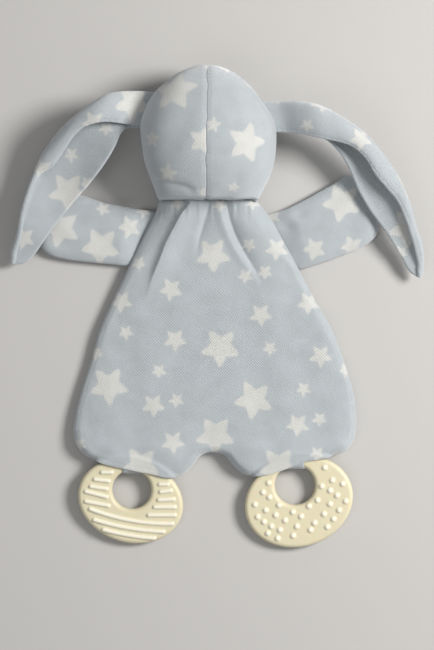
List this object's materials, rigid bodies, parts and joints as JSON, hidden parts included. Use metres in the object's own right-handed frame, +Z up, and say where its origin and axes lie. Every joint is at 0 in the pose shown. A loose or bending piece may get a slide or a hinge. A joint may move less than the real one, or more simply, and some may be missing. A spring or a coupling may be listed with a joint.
{
  "type": "plush comforter rattle",
  "caption": "Flat plush bunny comforter with a rattle capsule in its stuffed head, long ears, flat arms and a teether ring in each foot, lying face down.",
  "frame": {"origin": "on the flat underside of the body's front panel, near the middle of the body", "axes": "+Z up from the surface it lies on, +Y towards the head, +X to the right seen from above"},
  "size_m": [0.2691, 0.3138, 0.0585],
  "materials": {
    "velour_print": "grey-blue velour printed with off-white stars",
    "stuffing": "white polyester fibre",
    "capsule_plastic": "natural moulded plastic",
    "bead_plastic": "smooth beads",
    "embroidery_thread": "satin stitch thread",
    "teether_rubber": "soft matte pale yellow"
  },
  "bodies": {
    "trunk": {"body_back": "velour_print", "body_front": "velour_print", "body_wadding": "stuffing"},
    "head": {"head_back_left": "velour_print", "head_back_right": "velour_print", "head_face": "velour_print", "head_filling_front": "stuffing", "head_filling_back": "stuffing", "rattle_capsule_base": "capsule_plastic", "rattle_capsule_lid": "capsule_plastic", "eye_left": "embroidery_thread", "eye_right": "embroidery_thread", "nose": "embroidery_thread", "mouth": "embroidery_thread"},
    "ear_left": {"ear_left_outer": "velour_print", "ear_left_lining": "velour_print"},
    "ear_right": {"ear_right_outer": "velour_print", "ear_right_lining": "velour_print"},
    "arm_left": {"arm_left_back": "velour_print", "arm_left_front": "velour_print", "arm_left_filling": "stuffing"},
    "arm_right": {"arm_right_back": "velour_print", "arm_right_front": "velour_print", "arm_right_filling": "stuffing"},
    "teether_left": {"teether_left": "teether_rubber"},
    "teether_right": {"teether_right": "teether_rubber"},
    "bead_1": {"rattle_bead_1": "bead_plastic"},
    "bead_2": {"rattle_bead_2": "bead_plastic"},
    "bead_3": {"rattle_bead_3": "bead_plastic"},
    "bead_4": {"rattle_bead_4": "bead_plastic"},
    "bead_5": {"rattle_bead_5": "bead_plastic"}
  },
  "joints": [
    {"name": "head_tilt", "type": "hinge", "parent": "trunk", "child": "head", "pos_m": [-0.005, 0.07, 0.014], "axis": [0, 0, 1], "range_deg": [-8, 8]},
    {"name": "ear_left_lift", "type": "hinge", "parent": "head", "child": "ear_left", "pos_m": [-0.049, 0.1293, 0.0333], "axis": [0.375, 0.927, 0], "range_deg": [0, 70]},
    {"name": "ear_right_lift", "type": "hinge", "parent": "head", "child": "ear_right", "pos_m": [0.0391, 0.1237, 0.0333], "axis": [0.385, -0.9229, 0], "range_deg": [0, 70]},
    {"name": "arm_left_swing", "type": "hinge", "parent": "trunk", "child": "arm_left", "pos_m": [-0.048, 0.0451, 0.005], "axis": [0, 0, 1], "range_deg": [-8, 8]},
    {"name": "arm_right_swing", "type": "hinge", "parent": "trunk", "child": "arm_right", "pos_m": [0.0432, 0.0423, 0.005], "axis": [0, 0, 1], "range_deg": [-8, 8]},
    {"name": "teether_left_lift", "type": "hinge", "parent": "trunk", "child": "teether_left", "pos_m": [-0.0549, -0.102, 0.0074], "axis": [-1, 0, 0], "range_deg": [0, 60]},
    {"name": "teether_right_lift", "type": "hinge", "parent": "trunk", "child": "teether_right", "pos_m": [0.0514, -0.0992, 0.0074], "axis": [-1, 0, 0], "range_deg": [0, 60]},
    {"name": "bead_1_rattle", "type": "slide", "parent": "head", "child": "bead_1", "axis": [0, 0, 1], "range_m": [0, 0.0105]},
    {"name": "bead_2_rattle", "type": "slide", "parent": "head", "child": "bead_2", "axis": [0, 0, 1], "range_m": [0, 0.0105]},
    {"name": "bead_3_rattle", "type": "slide", "parent": "head", "child": "bead_3", "axis": [0, 0, 1], "range_m": [0, 0.0105]},
    {"name": "bead_4_rattle", "type": "slide", "parent": "head", "child": "bead_4", "axis": [0, 0, 1], "range_m": [0, 0.0105]},
    {"name": "bead_5_rattle", "type": "slide", "parent": "head", "child": "bead_5", "axis": [0, 0, 1], "range_m": [0, 0.0105]}
  ]
}
